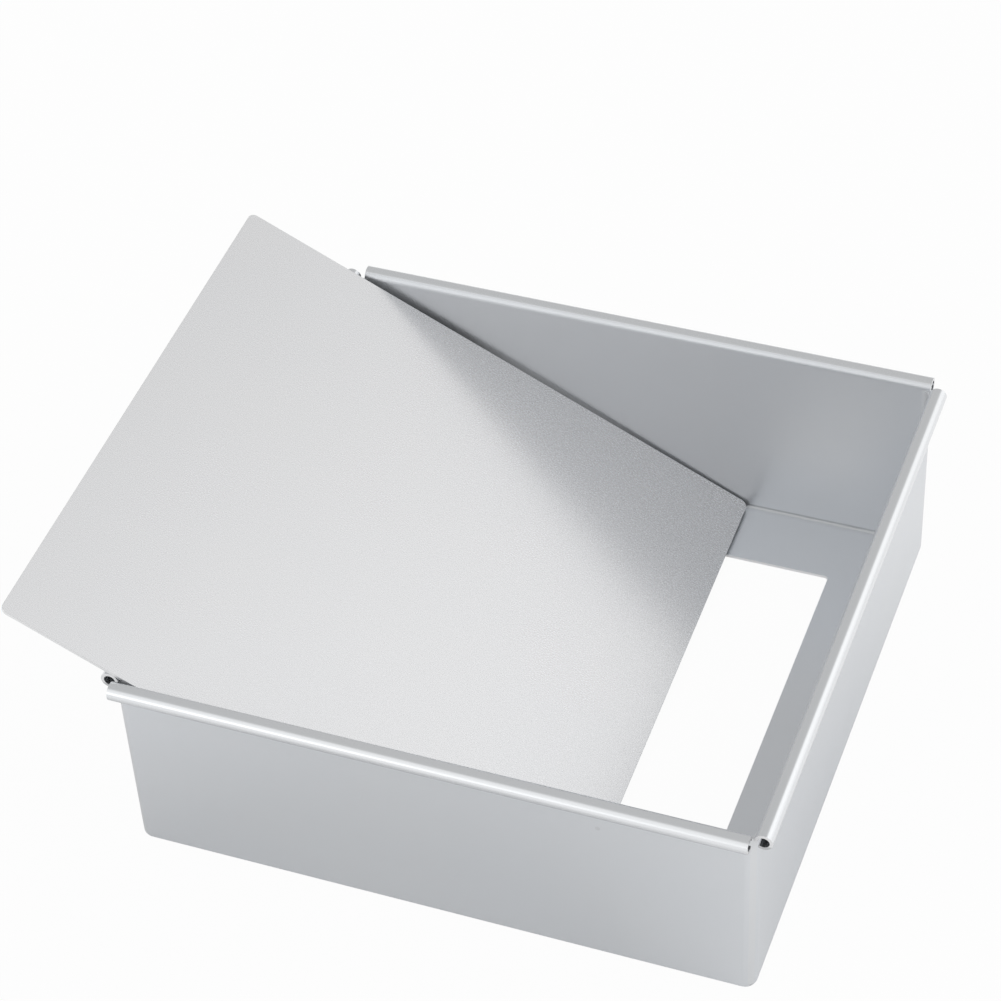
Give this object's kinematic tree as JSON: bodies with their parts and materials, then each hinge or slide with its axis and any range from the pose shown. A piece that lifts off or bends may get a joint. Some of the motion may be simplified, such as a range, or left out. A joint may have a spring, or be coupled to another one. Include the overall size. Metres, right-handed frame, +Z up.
{
  "type": "square cake pan",
  "caption": "Square sheet-metal cake pan with rolled rims and an open base, its loose flat base plate leaning out over the left rim.",
  "frame": {"origin": "middle of the pan's base, on the underside of the ledge ring that the pan stands on", "axes": "+Z up; the front wall faces -Y and the right wall +X; the base plate leans over the left rim, towards -X"},
  "size_m": [0.2434, 0.2114, 0.0912],
  "materials": {
    "pan_sheet": "satin anodised",
    "ground_weld": "ground flush and anodised",
    "plate_sheet": "satin anodised"
  },
  "bodies": {
    "pan": {"pan_shell": "pan_sheet", "weld_front_left": "ground_weld", "weld_front_right": "ground_weld", "weld_back_left": "ground_weld", "weld_back_right": "ground_weld"},
    "base": {"base_plate": "plate_sheet"}
  },
  "joints": [
    {"name": "base_pull_out", "type": "slide", "parent": "pan", "child": "base", "axis": [-0.8939, 0, 0.4482], "range_m": [0, 0.155]}
  ]
}
